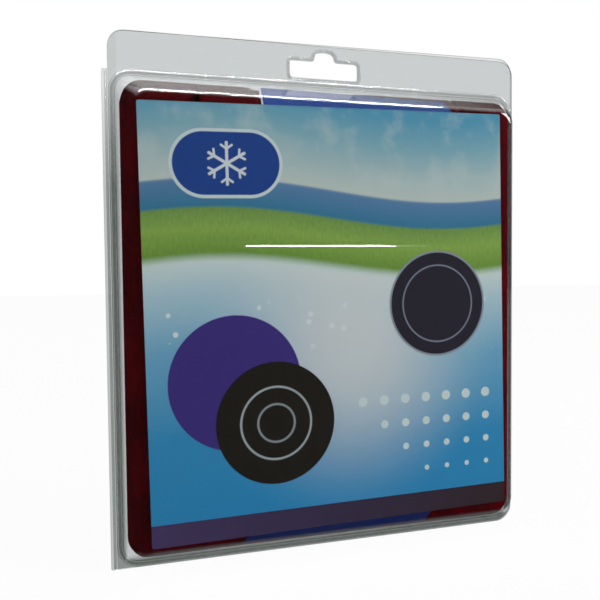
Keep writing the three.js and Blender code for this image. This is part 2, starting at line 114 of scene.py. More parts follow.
def add(tree: Tree, kind: str, inputs: dict[str | int, Source] | None = None, **settings: object) -> Node:
    """Adds a node with its settings and links.

    Args:
        tree: the node tree that it goes in.
        kind: the node's type name after its prefix.
        inputs: for each input, by name or number, a plain value, a socket, or a node that gives its first.
        settings: the node's own properties.

    Returns:
        The new node.
    """
    node = tree.nodes.new("ShaderNode" + kind)
    for name, value in settings.items():
        setattr(node, name, value)
    for key, value in (inputs or {}).items():
        source = value.outputs[0] if isinstance(value, Node) else value
        if isinstance(source, Socket):
            tree.links.new(source, node.inputs[key])
        else:
            node.inputs[key].default_value = source
    return node


def calc(tree: Tree, operation: str, *values: Source) -> Node:
    """Adds a math node that does one operation on the values."""
    return add(tree, "Math", dict(enumerate(values)), operation=operation)


def span(tree: Tree, value: Source, start: Pair = (0, 1), end: Pair = (0, 1), soft: bool = False) -> Node:
    """Maps one range of values on another and holds it at both ends.

    Args:
        tree: the node tree.
        value: the value.
        start: the range that it comes from.
        end: the range that it goes to.
        soft: whether it eases in and out.

    Returns:
        The node.
    """
    inputs = {"Value": value, "From Min": start[0], "From Max": start[1], "To Min": end[0], "To Max": end[1]}
    return add(tree, "MapRange", inputs, interpolation_type="SMOOTHSTEP" if soft else "LINEAR")


def split(tree: Tree, vector: Source) -> bpy.types.bpy_prop_collection:
    """Splits a vector into outputs named X, Y and Z."""
    return add(tree, "SeparateXYZ", {"Vector": vector}).outputs


def speckle(tree: Tree, place: Source, size_mm: float, detail: float, roughness: float = 0.5) -> Node:
    """Adds soft noise of a size in millimetres."""
    inputs = {"Vector": place, "Scale": 1 / (size_mm * MM), "Detail": detail, "Roughness": roughness}
    return add(tree, "TexNoise", inputs)


def ramp(tree: Tree, fac: Source, stops: list[tuple[float, int]]) -> Node:
    """Colours a value from 0 to 1 by a list of stops, each a place and a colour."""
    node = add(tree, "ValToRGB", {"Fac": fac})
    elements = node.color_ramp.elements
    while len(elements) < len(stops):
        elements.new(1)
    for element, (place, code) in zip(elements, stops):
        element.position = place
        element.color = linear(code)
    return node


def mixed(tree: Tree, fac: Source, under: Source, over: Source | int, blend: str = "MIX") -> Socket:
    """Lays one colour over another.

    Args:
        tree: the node tree.
        fac: how much of the upper colour shows.
        under: the lower colour.
        over: the upper colour, a hex value or a source.
        blend: the way they mix.

    Returns:
        The mixed colour's socket.
    """
    inputs = {"Factor": fac, 6: under, 7: linear(over) if isinstance(over, int) else over}
    return add(tree, "Mix", inputs, data_type="RGBA", blend_type=blend).outputs[2]


def fresh(name: str) -> tuple[Material, Tree, Socket]:
    """Starts a material, and gives it with its empty tree and the point in object space."""
    material = bpy.data.materials.new(name)
    material.use_nodes = True
    tree = material.node_tree
    tree.nodes.clear()
    return material, tree, add(tree, "TexCoord").outputs["Object"]


def coat(tree: Tree, height: Source, deep_mm: float, strength: float, look: dict[str, Source]) -> None:
    """Ends a material in a principled surface whose relief has a depth in millimetres and a strength."""
    bump = add(tree, "Bump", {"Height": height, "Distance": deep_mm * MM, "Strength": strength})
    add(tree, "OutputMaterial", {"Surface": add(tree, "BsdfPrincipled", {**look, "Normal": bump})})


class Weave(Enum):
    """How a cloth's threads lie."""

    BRUSHED = "brushed"
    RIBBED = "ribbed"
    PLAIN = "plain"
    PILE = "pile"


@dataclass(frozen=True)
class ClearSheet:
    """Clear thermoformed PETG: straight see-through with a grey tint, and a glossy, slightly wavy skin."""

    name: str = "clear_petg_thermoformed"
    tint: int = 0xF4F5F5
    fold_tint: int = 0xDFE1E0
    milk: int = 0xE6EAEC
    haze: float = 0.001
    roughness: float = 0.03
    reflectance: Pair = (0.03, 0.9)
    grazing_power: float = 4.6
    wave_mm: float = 34.0
    wave_height_mm: float = 0.03
    folded_x_mm: float = -79.4
    folded_z_mm: float = 3.2
    folded_soft_mm: float = 0.6
    fade_mm: Pair = (140.0, 180.0)

    def folded(self, tree: Tree, place: Source) -> Node:
        """Finds the plastic beside the fold and along the foot, which is tinted a darker grey that fades out
        towards the top.

        Args:
            tree: the material's tree.
            place: the point in object space.

        Returns:
            1 in the stretched plastic and 0 elsewhere.
        """
        axes, soft = split(tree, place), self.folded_soft_mm
        shares = [
            span(tree, axes[axis], ((limit - soft) * MM, (limit + soft) * MM), (1.0, 0.0))
            for axis, limit in (("X", self.folded_x_mm), ("Z", self.folded_z_mm))
        ]
        start, end = self.fade_mm
        below = span(tree, axes["Z"], (start * MM, end * MM), (1.0, 0.1))
        return calc(tree, "MULTIPLY", calc(tree, "MAXIMUM", *shares), below)

    def build(self) -> Material:
        """Makes the material."""
        material, tree, place = fresh(self.name)
        waves = speckle(tree, place, self.wave_mm, 1.5)
        bump = add(tree, "Bump", {"Height": waves, "Distance": self.wave_height_mm * MM, "Strength": 1.0})
        facing = add(tree, "LayerWeight", {"Blend": 0.5, "Normal": bump}).outputs["Facing"]
        mirror = span(tree, calc(tree, "POWER", facing, self.grazing_power), end=self.reflectance)
        tint = mixed(tree, self.folded(tree, place), linear(self.tint), self.fold_tint)
        clear = add(tree, "BsdfTransparent", {"Color": tint})
        milky = add(tree, "BsdfDiffuse", {"Color": linear(self.milk)})
        body = add(tree, "MixShader", {0: self.haze, 1: clear, 2: milky})
        gloss = add(tree, "BsdfGlossy", {"Roughness": self.roughness, "Normal": bump})
        add(tree, "OutputMaterial", {"Surface": add(tree, "MixShader", {0: mirror, 1: body, 2: gloss})})
        return material


@dataclass(frozen=True)
class Cloth:
    """Woven polyester or cotton: a thread pattern in height and colour, soft sheen and slow colour drift."""

    name: str
    weave: Weave
    thread_mm: float
    light: int
    dark: int
    roughness: float = 0.92
    sheen: float = 0.35
    sheen_roughness: float = 0.5
    specular: float = 0.02
    height_mm: float = 0.12
    relief: float = 0.8
    drift_mm: float = 18.0
    nap: Triple = (1.0, 1.0, 0.35)
    contrast: Pair = (0.55, 1.35)

    def threads(self, tree: Tree, place: Source) -> Source:
        """Works out the thread pattern.

        Args:
            tree: the material's tree.
            place: the point in object space.

        Returns:
            The height from 0 to 1.
        """
        scale = 1 / (self.thread_mm * MM)
        if self.weave is Weave.PILE:
            return add(tree, "TexVoronoi", {"Vector": place, "Scale": scale})
        if self.weave is Weave.BRUSHED:
            brushed = add(tree, "Mapping", {"Vector": place, "Scale": self.nap})
            return speckle(tree, brushed, self.thread_mm, 3.0, 0.65)
        waves = {"Vector": place, "Scale": scale / math.tau, "Distortion": 0.6, "Detail": 1.0}
        across = add(tree, "TexWave", waves, wave_type="BANDS", bands_direction="Z").outputs["Fac"]
        if self.weave is Weave.RIBBED:
            return across
        along = add(tree, "TexWave", waves, wave_type="BANDS", bands_direction="X").outputs["Fac"]
        return calc(tree, "MULTIPLY", across, along)

    def build(self) -> Material:
        """Makes the material."""
        material, tree, place = fresh(self.name)
        threads = self.threads(tree, place)
        drift = speckle(tree, place, self.drift_mm, 4.0)
        shade = span(tree, calc(tree, "ADD", threads, drift), self.contrast)
        look = {
            "Base Color": mixed(tree, shade, linear(self.dark), self.light),
            "Roughness": self.roughness,
            "Sheen Weight": self.sheen,
            "Sheen Roughness": self.sheen_roughness,
            "Sheen Tint": linear(self.light),
            "Specular IOR Level": self.specular,
        }
        coat(tree, threads, self.height_mm, self.relief, look)
        return material


@dataclass(frozen=True)
class Board:
    """Coated carton board or uncoated paper without print: pale, with faint fibres."""

    name: str
    colour: int
    edge: int
    roughness: float
    fibre_mm: float = 0.9
    height_mm: float = 0.02
    relief: float = 0.5

    def build(self) -> Material:
        """Makes the material."""
        material, tree, place = fresh(self.name)
        fibres = speckle(tree, place, self.fibre_mm, 3.0)
        colour = mixed(tree, fibres, linear(self.edge), self.colour)
        coat(tree, fibres, self.height_mm, self.relief, {"Base Color": colour, "Roughness": self.roughness})
        return material


@dataclass(frozen=True)
class Crystals:
    """Dry gel crystals packed in a channel: pale, grainy, a little translucent."""

    grain_mm: float = 1.3
    height_mm: float = 0.4
    roughness: float = 0.3
    glow_through: float = 0.2

    def build(self) -> Material:
        """Makes the material."""
        material, tree, place = fresh("gel_crystals_dry")
        grains = add(tree, "TexVoronoi", {"Vector": place, "Scale": 1 / (self.grain_mm * MM)})
        colour = mixed(tree, grains, linear(0xF0F2F2), 0xC3CACC)
        look = {"Base Color": colour, "Roughness": self.roughness, "Subsurface Weight": self.glow_through}
        coat(tree, grains, self.height_mm, 1.0, look)
        return material


# The print on the front card, a design of bands, drops and a crystal of its own


@dataclass(frozen=True)
class Patch:
    """A rounded rectangle in the print, in millimetres from the card's middle."""

    x: float
    z: float
    half_x: float
    half_z: float
    radius: float
    colour: int
    turn: float = 0.0
    soft: float = 0.18


@dataclass(frozen=True)
class Artwork:
    """The drawing of the print, at a point in millimetres from the card's middle."""

    tree: Tree
    place: Socket
    capsule: Pair = (-41, 58)
    discs: tuple[tuple[float, float, float, int], ...] = (
        (43, 4, 21, 0x9AA6B0),
        (43, 4, 20.2, 0x34303C),
        (-40, -22, 25, 0x4A3A8C),
        (-25, -38, 23, 0x2B2620),
        (43, 4, 15.5, 0x8C93A6),
        (43, 4, 14.9, 0x34303C),
        (-25, -38, 14, 0xB8C2C4),
        (-25, -38, 13.2, 0x2B2620),
        (-25, -38, 7.5, 0x9FA9AC),
        (-25, -38, 6.7, 0x2B2620),
    )
    dot_rows: int = 4
    first_row: int = 7
    dot_pitch: Pair = (9.0, 9.5)
    swing: float = 0.034
    swell: float = 4.5
    ends: Pair = (-80.0, 80.0)
    clouds_from: Pair = (0.8, 0.84)
    meadow_from: Pair = (0.62, 0.64)
    meadow_top: float = 0.738
    field_top: float = 0.61
    field_middle: Triple = (6.0, 0.0, -12.0)
    field_reach: Pair = (4.0, 66.0)
    drops_across: float = 0.16
    drop_size: Pair = (0.16, 0.2)
    drop_line: float = 1.0
    drop_reach: Pair = (5.0, 15.0)

    def vector(self, operation: str, *values: Source) -> Node:
        """Adds a vector math node that does one operation on the values."""
        return add(self.tree, "VectorMath", dict(enumerate(values)), operation=operation)

    def length(self, source: Source) -> Socket:
        """The length of a vector."""
        return self.vector("LENGTH", source).outputs["Value"]

    def patch(self, patch: Patch, place: Source) -> Node:
        """Works out where a patch covers the card.

        Args:
            patch: the patch.
            place: the point that is drawn.

        Returns:
            1 inside the patch and 0 outside it.
        """
        turn = (0, math.radians(patch.turn), 0)
        moved = {"Vector": place, "Location": (patch.x, 0, patch.z), "Rotation": turn}
        folded = self.vector("ABSOLUTE", add(self.tree, "Mapping", moved, vector_type="TEXTURE"))
        inner = (patch.half_x - patch.radius, 1000, patch.half_z - patch.radius)
        outside = self.vector("MAXIMUM", self.vector("SUBTRACT", folded, inner), (0, 0, 0))
        edge = (patch.radius - patch.soft, patch.radius + patch.soft)
        return span(self.tree, self.length(outside), edge, (1.0, 0.0), soft=True)

    def patches(self) -> list[Patch]:
        """The plain shapes from the lowest up: a capsule, discs with rings on them, and rows of dots."""
        made = [
            Patch(*self.capsule, 21, 12.5, 12.5, 0xE2F0EF),
            Patch(*self.capsule, 19.8, 11.3, 11.3, 0x2B4F9E),
        ]
        dots = [
            (64 - self.dot_pitch[0] * column, -33 - self.dot_pitch[1] * row, 1.9 - 0.3 * row, 0xE2F0EF)
            for row in range(self.dot_rows)
            for column in range(self.first_row - row)
        ]
        return made + [Patch(x, z, size, size, size, colour) for x, z, size, colour in (*self.discs, *dots)]

    def bands(self) -> Socket:
        """The ground of the print: wide wavy bands of sky blue, deep blue, green and light blue.

        Returns:
            The colour.
        """
        tree, place = self.tree, self.place
        axes = split(tree, place)
        wave = calc(tree, "SINE", calc(tree, "MULTIPLY", axes["X"], self.swing))
        height = span(tree, calc(tree, "MULTIPLY_ADD", wave, self.swell, axes["Z"]), self.ends)
        stops = [
            (0.0, 0x3396CF),
            (0.22, 0x3E9CD0),
            (0.42, 0x7DBADB),
            (0.56, 0xC4DFEA),
            (0.615, 0xE2F0EF),
            (0.635, 0x7FA94A),
            (0.69, 0x9CC05D),
            (0.735, 0x83AB5C),
            (0.74, 0x4288AC),
            (0.80, 0x6891BC),
            (0.805, 0xD5E0D9),
            (0.93, 0x8FBFCF),
            (1.0, 0x62ABCB),
        ]
        rough = add(tree, "TexNoise", {"Vector": place, "Scale": 0.05, "Detail": 5.0, "Roughness": 0.6})
        cloud, aloft = span(tree, rough, (0.5, 0.78), (0.0, 0.75)), span(tree, height, self.clouds_from)
        sky = mixed(tree, calc(tree, "MULTIPLY", cloud, aloft), ramp(tree, height, stops), 0xDCE5E2)
        blown = add(tree, "Mapping", {"Vector": place, "Scale": (1.6, 1.0, 0.5)})
        blades = add(tree, "TexNoise", {"Vector": blown, "Scale": 0.8, "Detail": 4.0})
        below = calc(tree, "LESS_THAN", height, self.meadow_top)
        meadow = calc(tree, "MULTIPLY", span(tree, height, self.meadow_from), below)
        grained = mixed(tree, meadow, sky, span(tree, blades, end=(0.72, 1.22)), "MULTIPLY")
        away = self.length(self.vector("SUBTRACT", place, self.field_middle))
        lit = span(tree, away, self.field_reach, (0.8, 0.0), soft=True)
        field_light = calc(tree, "MULTIPLY", lit, calc(tree, "LESS_THAN", height, self.field_top))
        return mixed(tree, field_light, grained, 0xF2F1EE)

    def crystal(self) -> Node:
        """A six-armed crystal, folded out of one arm and its side branch: 1 on it and 0 off it."""
        tree = self.tree
        moved = self.vector("SUBTRACT", self.place, (self.capsule[0], 0, self.capsule[1]))
        axes = split(tree, moved)
        folded = calc(tree, "PINGPONG", calc(tree, "ARCTAN2", axes["X"], axes["Z"]), math.radians(30))
        reach = self.length(moved)
        along, aside = (calc(tree, "MULTIPLY", reach, calc(tree, way, folded)) for way in ("COSINE", "SINE"))
        arm_place = add(tree, "CombineXYZ", {"X": along, "Y": 0.0, "Z": aside})
        arm = self.patch(Patch(3.6, 0, 4.4, 0.55, 0.4, 0), arm_place)
        branch = self.patch(Patch(5.9, 0.9, 1.7, 0.42, 0.3, 0, -55), arm_place)
        return calc(tree, "MAXIMUM", arm, branch)

    def drops(self) -> Node:
        """Bright drops thrown up along the edge of the light field: 1 on a drop and 0 off it."""
        tree = self.tree
        cells = add(tree, "TexVoronoi", {"Vector": self.place, "Scale": self.drops_across, "Randomness": 0.9})
        dots = span(tree, cells, self.drop_size, (1.0, 0.0))
        away = calc(tree, "ABSOLUTE", calc(tree, "ADD", split(tree, self.place)["Z"], self.drop_line))
        return calc(tree, "MULTIPLY", dots, span(tree, away, self.drop_reach, (1.0, 0.0)))


@dataclass(frozen=True)
class PrintedCard:
    """Offset-printed carton with a satin varnish: flat inks under a thin, smooth coat."""

    tilt: float = 0.97
    middle_mm: Triple = (-0.2, 0.0, 91.35)
    half_x: float = 72.0
    half_z: float = 79.6
    foot_band_z: float = -71.2
    tab_left: float = -27.2
    tab_cut: float = 0.6
    tab_lean: float = 0.17
    fold_y: float = -12.8
    inner_side: float = 0.1
    roughness: float = 0.5
    specular: float = 0.04

    def build(self) -> Material:
        """Makes the material for the front card."""
        material, tree, place = fresh("carton_printed_satin_varnish")
        turned = {
            "Vector": place,
            "Location": Vector(self.middle_mm) * MM,
            "Rotation": (0, -math.radians(self.tilt), 0),
            "Scale": (MM, 1.0, MM),
        }
        card = add(tree, "Mapping", turned, vector_type="TEXTURE").outputs[0]
        art, axes = Artwork(tree, card), split(tree, card)
        colour = mixed(tree, art.drops(), art.bands(), 0xEFF6F7)
        for patch in art.patches():
            colour = mixed(tree, art.patch(patch, card), colour, patch.colour)
        across = span(tree, axes["X"], (-self.half_x, self.half_x))
        top = calc(tree, "GREATER_THAN", axes["Z"], self.half_z)
        side = calc(tree, "MULTIPLY_ADD", axes["Y"], -self.tab_lean / MM, axes["X"])
        start = self.tab_left + self.tab_cut - self.tab_lean * (self.fold_y + PARTING_Y)
        normal = split(tree, place.node.outputs["Normal"])
        dark = ramp(tree, across, [(0.0, 0x53436F), (0.5, 0x453A55), (1.0, 0x403234)])
        inks = [
            (art.crystal(), 0xEAF3F6),
            (calc(tree, "LESS_THAN", axes["Z"], self.foot_band_z), dark),
            (top, ramp(tree, across, [(0.2, 0x1746A8), (0.8, 0x15448E)])),
            (calc(tree, "MULTIPLY", calc(tree, "LESS_THAN", side, start), top), 0xF4F4F2),
            (calc(tree, "LESS_THAN", axes["Z"], -self.half_z), 0x24347A),
            (calc(tree, "GREATER_THAN", normal["Y"], self.inner_side), 0xDCDDD8),
        ]
        for where, ink in inks:
            colour = mixed(tree, where, colour, ink)
        warp = add(tree, "TexNoise", {"Vector": place, "Scale": 30.0, "Detail": 1.0})
        look = {"Base Color": colour, "Roughness": self.roughness, "Specular IOR Level": self.specular}
        coat(tree, warp, 0.05, 0.4, look)
        return material


# Meshes


@dataclass(frozen=True)
class Corner:
    """A corner of an outline: its place across and up, and the radius that rounds it."""

    x: float
    z: float
    radius: float = 0.0


def rounded(half_x: float, half_z: float, radius: float, x: float, z: float) -> list[Corner]:
    """The corners of a rounded rectangle: half its width and height, the corners' radius, its middle."""
    signs = ((-1, -1), (1, -1), (1, 1), (-1, 1))
    return [Corner(x + sx * half_x, z + sz * half_z, radius) for sx, sz in signs]


def frame_of(box: Box, radius: float, grow: float = 0.0) -> list[Corner]:
    """A box's outline with rounded corners, moved out by a length."""
    return rounded(box.wide / 2 + grow, box.tall / 2 + grow, radius, box.x, box.z)


def move(bm: Mesh, way: Iterable[float], verts: Iterable[bmesh.types.BMVert] | None = None) -> None:
    """Moves some vertices of a mesh, or all."""
    bmesh.ops.translate(bm, verts=bm.verts if verts is None else list(verts), vec=tuple(way))


def stretch(bm: Mesh, size: Iterable[float], verts: list[bmesh.types.BMVert] | None = None) -> None:
    """Scales some vertices of a mesh, or all, about the origin."""
    bmesh.ops.scale(bm, verts=bm.verts if verts is None else verts, vec=tuple(size))


def bevel(bm: Mesh, geom: list, offset: float, segments: int, affect: str) -> None:
    """Rounds EDGES or VERTICES to a width in some steps."""
    shape = {"offset_type": "OFFSET", "profile": 0.5, "material": -1}
    bmesh.ops.bevel(bm, geom=geom, offset=offset, segments=segments, affect=affect, **shape)


def ring(bm: Mesh, corners: list[Corner], depth: float, segments: int = 8) -> Edges:
    """Draws a closed outline with rounded corners.

    Args:
        bm: the mesh.
        corners: its corners in order.
        depth: how deep it lies.
        segments: steps on each rounded corner.

    Returns:
        The outline's edges.
    """
    known = set(bm.faces)
    verts = [bm.verts.new((corner.x, depth, corner.z)) for corner in corners]
    bm.faces.new(verts)
    for vert, corner in zip(verts, corners):
        if corner.radius > 0:
            bevel(bm, [vert], corner.radius, segments, "VERTICES")
    face = next(face for face in bm.faces if face not in known)
    edges = list(face.edges)
    bmesh.ops.delete(bm, geom=[face], context="FACES_ONLY")
    return edges


def bridge(bm: Mesh, rings: list[Edges], hoop: bool = False) -> None:
    """Joins outlines of equal count, in their order, into one surface, which a hoop closes."""
    for first, second in zip(rings, rings[1:] + rings[:1] if hoop else rings[1:]):
        bmesh.ops.bridge_loops(bm, edges=[*first, *second])


def loft(bm: Mesh, outlines: Iterable[tuple[list[Corner], float]], hoop: bool = False) -> list[Edges]:
    """Draws outlines, each given by its corners and depth, joins them, and returns their edges."""
    rings = [ring(bm, corners, depth) for corners, depth in outlines]
    bridge(bm, rings, hoop)
    return rings


def slice_at(bm: Mesh, place: Triple, normal: Triple, keep: bool = True) -> Edges:
    """Cuts a mesh along a plane, drops what lies beyond it if told so, and returns the edges in it."""
    geom = [*bm.verts, *bm.edges, *bm.faces]
    cut = bmesh.ops.bisect_plane(bm, geom=geom, plane_co=place, plane_no=normal, clear_outer=not keep)
    return [item for item in cut["geom_cut"] if isinstance(item, bmesh.types.BMEdge)]


def bend(start: Vector, corner: Vector, end: Vector, steps: int) -> list[Vector]:
    """The points of a round stretch that leaves a corner out."""
    shares = [step / steps for step in range(steps + 1)]
    return [start.lerp(corner, t).lerp(corner.lerp(end, t), t) for t in shares]


def eased(points: Profile, radius: float, steps: int = 3, most: float = 0.4) -> Profile:
    """Rounds the corners of an open profile.

    Args:
        points: its points in order.
        radius: how far from a corner its round stretch starts, at most.
        steps: steps in each round stretch.
        most: the share of a side that a round stretch may take.

    Returns:
        The rounded profile.
    """
    line = [Vector(point) for point in points]
    made = [line[0]]
    for before, corner, after in zip(line, line[1:], line[2:]):
        reach = min(radius, (before - corner).length * most, (after - corner).length * most)
        start = corner + (before - corner).normalized() * reach
        made += bend(start, corner, corner + (after - corner).normalized() * reach, steps)
    return [(point.x, point.y) for point in [*made, line[-1]]]


def settle(piece: Piece, crease: float = 34.0) -> None:
    """Makes a piece's modifiers final, and keeps edges crisp from an angle in degrees."""
    bpy.context.view_layer.update()
    made = piece.evaluated_get(bpy.context.evaluated_depsgraph_get())
    mesh = bpy.data.meshes.new_from_object(made)
    piece.modifiers.clear()
    piece.data = mesh
    mesh.name = piece.name
    mesh.set_sharp_from_angle(angle=math.radians(crease))


def held(value: float, low: float = 0.0, high: float = 1.0) -> float:
    """Holds a value between two others."""
    return max(low, min(high, value))


def smooth(share: float) -> float:
    """Eases a share from 0 to 1."""
    share = held(share)
    return share * share * (3 - 2 * share)


def placed(name: str, data: bpy.types.ID) -> Piece:
    """Puts an object with its data in the scene."""
    thing = bpy.data.objects.new(name, data)
    bpy.context.scene.collection.objects.link(thing)
    return thing


def finish(bm: Mesh, name: str, thickness: float = 0.0, towards_front: bool = True) -> Piece:
    """Turns a mesh in millimetres into a piece in metres.

    Args:
        bm: the mesh, freed afterwards.
        name: the piece's name.
        thickness: the wall that Solidify gives it, if it is a sheet.
        towards_front: whether a sheet's faces point to the front.

    Returns:
        The piece.
    """
    bmesh.ops.remove_doubles(bm, verts=bm.verts, dist=0.001)
    bmesh.ops.recalc_face_normals(bm, faces=bm.faces)
    if thickness:
        bm.normal_update()
        front = sum(face.normal.y * face.calc_area() for face in bm.faces) < 0
        if front != towards_front:
            bmesh.ops.reverse_faces(bm, faces=bm.faces)
    move(bm, (0, PARTING_Y, 0))
    stretch(bm, (MM, MM, MM))
    mesh = bpy.data.meshes.new(name)
    bm.to_mesh(mesh)
    bm.free()
    mesh.shade_smooth()
    piece = placed(name, mesh)
    if thickness:
        wall = piece.modifiers.new("wall", "SOLIDIFY")
        wall.thickness = thickness * MM
        wall.offset = 1.0
        wall.use_even_offset = True
    return piece


def dress(piece: Piece, material: Material, body: str, slot: str, *nodes: str) -> None:
    """Gives a piece its material and body, and hides the frame nodes that it stands for.

    Args:
        piece: the piece.
        material: its material.
        body: the body that it moves with.
        slot: the record's material slot; not used.
        nodes: the frame nodes that it replaces.
    """
    piece.data.materials.append(material)
    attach(piece, body)
    if nodes:
        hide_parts(*nodes)
    log.info("%s rides on %s", piece.name, body)


@dataclass
class Shells:
    """The clear thermoformed shells: flange, tab with slot, snap rim, blister, and the fold's bead."""

    sheet: float = 0.5
    half_gap: float = 0.15
    fold_to_base: float = 3.5
    right_margin: float = 2.5
    foot_margin: float = 2.4
    base_top: float = 180.9
    corner: float = 6.0
    corner_shrink: float = 0.2
    inset_x: float = 6.0
    inset_z: float = 7.6
    rear_inset: float = 3.0
    bend: float = 2.2
    bend_steps: int = 7
    fold_round: float = 0.3
    rim_start: float = 0.3
    rim_width: float = 1.6
    rim_slope: float = 0.35
    rim_height: float = 1.1
    ridge_inside: float = 0.5
    ridge_lower: float = 0.3
    panel: tuple[float, float, float, float] = (38.0, 14.0, 2.0, 105.0)
    panel_rise: float = 0.6
    panel_step: Pair = (0.43, 0.35)
    foot_corner: float = 7.0
    tab_corner: float = 6.0
    slot_above_base: float = 3.4
    slot_half: Pair = (14.2, 4.3)
    slot_heights: Pair = (6.9, 10.5)
    slot_radii: Triple = (1.4, 3.4, 1.5)
    slot_lip: tuple[Pair, ...] = ((1.2, 0.0), (0.95, 0.4), (0.45, 0.4), (0.2, 0.0))
    lip_sunk: float = 0.05
    fine_segments: int = 6
    panel_segments: int = 4
    bead_sides: int = 24
    bead_round: float = 0.35
    material: Material = field(default_factory=lambda: ClearSheet().build())
    # Painted shade: a darker grey tint for the sheets' cut edges.
    cut_edge: Material = field(
        default_factory=lambda: ClearSheet("clear_petg_cut_edge", tint=0x8F9694, haze=0.05).build()
    )

    def __post_init__(self) -> None:
        """Works out the places that follow from the frame."""
        self.front_box, self.rear_box = box_of("front_shell"), box_of("rear_shell")
        self.bead_top = self.base_top + self.rim_start + self.rim_width
        left, right = FOLD_X + self.fold_to_base, self.front_box.high.x - self.right_margin
        self.x, self.half_x = (left + right) / 2, (right - left) / 2
        self.z, self.half_z = (self.foot_margin + self.base_top) / 2, (self.base_top - self.foot_margin) / 2

    def base(self, offset: float, share: float = 1.0) -> list[Corner]:
        """The blister's outline moved out, or in, and there further up and down than across by a share."""
        up = offset * (share if offset < 0 else 1.0)
        radius = self.corner + (offset if offset > 0 else offset * self.corner_shrink)
        return rounded(self.half_x + offset, self.half_z + up, radius, self.x, self.z)

    def shape(self, rim: Profile, inset: float, depth: float, side: int) -> Profile:
        """The profile of a shell, over its rim and down the blister's wall, round the bend to its face.

        Args:
            rim: the profile as far as the wall.
            inset: how far in the face lies.
            depth: how deep the face lies.
            side: -1 for the front shell and 1 for the rear.

        Returns:
            Offsets and depths in order.
        """
        lean = math.atan2(depth, inset)
        reach = self.bend * math.tan(lean / 2)
        corner = Vector((-inset, side * depth))
        start = corner + Vector((math.cos(lean), -side * math.sin(lean))) * reach
        turned = bend(start, corner, corner - Vector((reach, 0)), self.bend_steps)
        wall = [(point.x, point.y) for point in turned]
        return eased([*rim, wall[0]], self.fold_round) + wall[1:]

    def slot_corners(self, grow: float = 0.0) -> list[Corner]:
        """The outline, moved out, of the hanger slot: a wide low opening with a round bump on its top."""
        base = self.base_top + self.slot_above_base
        foot, (shoulder, top) = base - grow, (base + height + grow for height in self.slot_heights)
        half, bump = (width + grow for width in self.slot_half)
        end, crown, valley = self.slot_radii
        right = [
            (half, foot, end + grow),
            (half, shoulder, end + grow),
            (bump, shoulder, valley - grow),
            (bump, top, crown + grow),
        ]
        left = [(-x, z, radius) for x, z, radius in reversed(right)]
        return [Corner(*corner) for corner in (left[-1], *right, *left[:-1])]

    def flange(self, bm: Mesh, left: float, top: float, depth: float, inner: Edges) -> None:
        """Fills the flat sheet between its outer edge, the slot and the blister's rim.

        Args:
            bm: the mesh.
            left: the left edge below the tab.
            top: the tab's top at its right end.
            depth: the sheet's depth.
            inner: the rim's outline.
        """
        right, tab_left = self.front_box.high.x, self.front_box.low.x
        corners = [
            Corner(left, 0),
            Corner(right, 0, self.foot_corner),
            Corner(right, top, self.tab_corner),
            Corner(tab_left, self.front_box.high.z, self.tab_corner),
        ]
        if left < tab_left:
            corners += [Corner(tab_left, self.bead_top), Corner(left, self.bead_top)]
        edge = ring(bm, corners, depth)
        slot = ring(bm, self.slot_corners(), depth, self.fine_segments)
        bmesh.ops.triangle_fill(bm, use_beauty=True, use_dissolve=False, edges=[*edge, *slot, *inner])

    def front(self) -> None:
        """Builds the front shell."""
        bm = bmesh.new()
        skin = -self.half_gap
        outer, crest = self.rim_start + self.rim_width, skin - self.rim_height
        depth = -self.front_box.low.y - self.panel_rise - self.sheet
        rim = [
            (outer + self.rim_start, skin),
            (outer, skin),
            (outer - self.rim_slope, crest),
            (self.rim_start + self.rim_slope, crest),
            (self.rim_start, skin),
            (0.0, skin),
        ]
        share = self.inset_z / self.inset_x
        rings = loft(bm, [(self.base(out, share), y) for out, y in self.shape(rim, self.inset_x, depth, -1)])
        self.flange(bm, self.front_box.low.x, self.front_box.high.z, skin, rings[0])
        half_x, half_z, radius, height = self.panel
        foot = ring(bm, rounded(half_x, half_z, radius, self.x, height), -depth, self.panel_segments)
        inward, out = self.panel_step
        inner = rounded(half_x - inward, half_z - inward, radius - inward, self.x, height)
        crown = ring(bm, inner, -depth - out, self.panel_segments)
        bmesh.ops.triangle_fill(bm, use_beauty=True, use_dissolve=False, edges=[*rings[-1], *foot])
        bridge(bm, [foot, crown])
        bmesh.ops.edgeloop_fill(bm, edges=crown)
        piece = finish(bm, "front_shell_sheet", self.sheet)
        dress(piece, self.material, "front_cover", "clear_shell", "front_shell")
        self.darken_edges(piece)

    def rear(self) -> None:
        """Builds the rear shell with its snap ridge."""
        bm = bmesh.new()
        skin = self.half_gap
        crest = skin - self.rim_height + self.ridge_lower
        outer, start = self.rim_start + self.rim_width - self.ridge_inside, self.rim_start + self.ridge_inside
        depth = self.rear_box.high.y - self.sheet
        ridge = [(outer - self.rim_slope, crest), (start + self.rim_slope, crest)]
        rim = [(outer, skin), *ridge, (start, skin), (0.0, skin)]
        rings = loft(bm, [(self.base(out), y) for out, y in self.shape(rim, self.rear_inset, depth, 1)])
        bmesh.ops.edgeloop_fill(bm, edges=rings[-1])
        self.flange(bm, FOLD_X, self.rear_box.high.z, skin, rings[0])
        piece = finish(bm, "rear_shell_sheet", self.sheet, towards_front=False)
        dress(piece, self.material, "rear_pack", "clear_shell", "rear_shell")
        self.darken_edges(piece)

    def darken_edges(self, piece: Piece) -> None:
        """Gives a sheet's cut edges a darker grey tint, painted shade for the look that clear sheet has when
        light runs along it.
        """
        piece.data.materials.append(self.cut_edge)
        piece.modifiers["wall"].material_offset_rim = 1
        settle(piece)

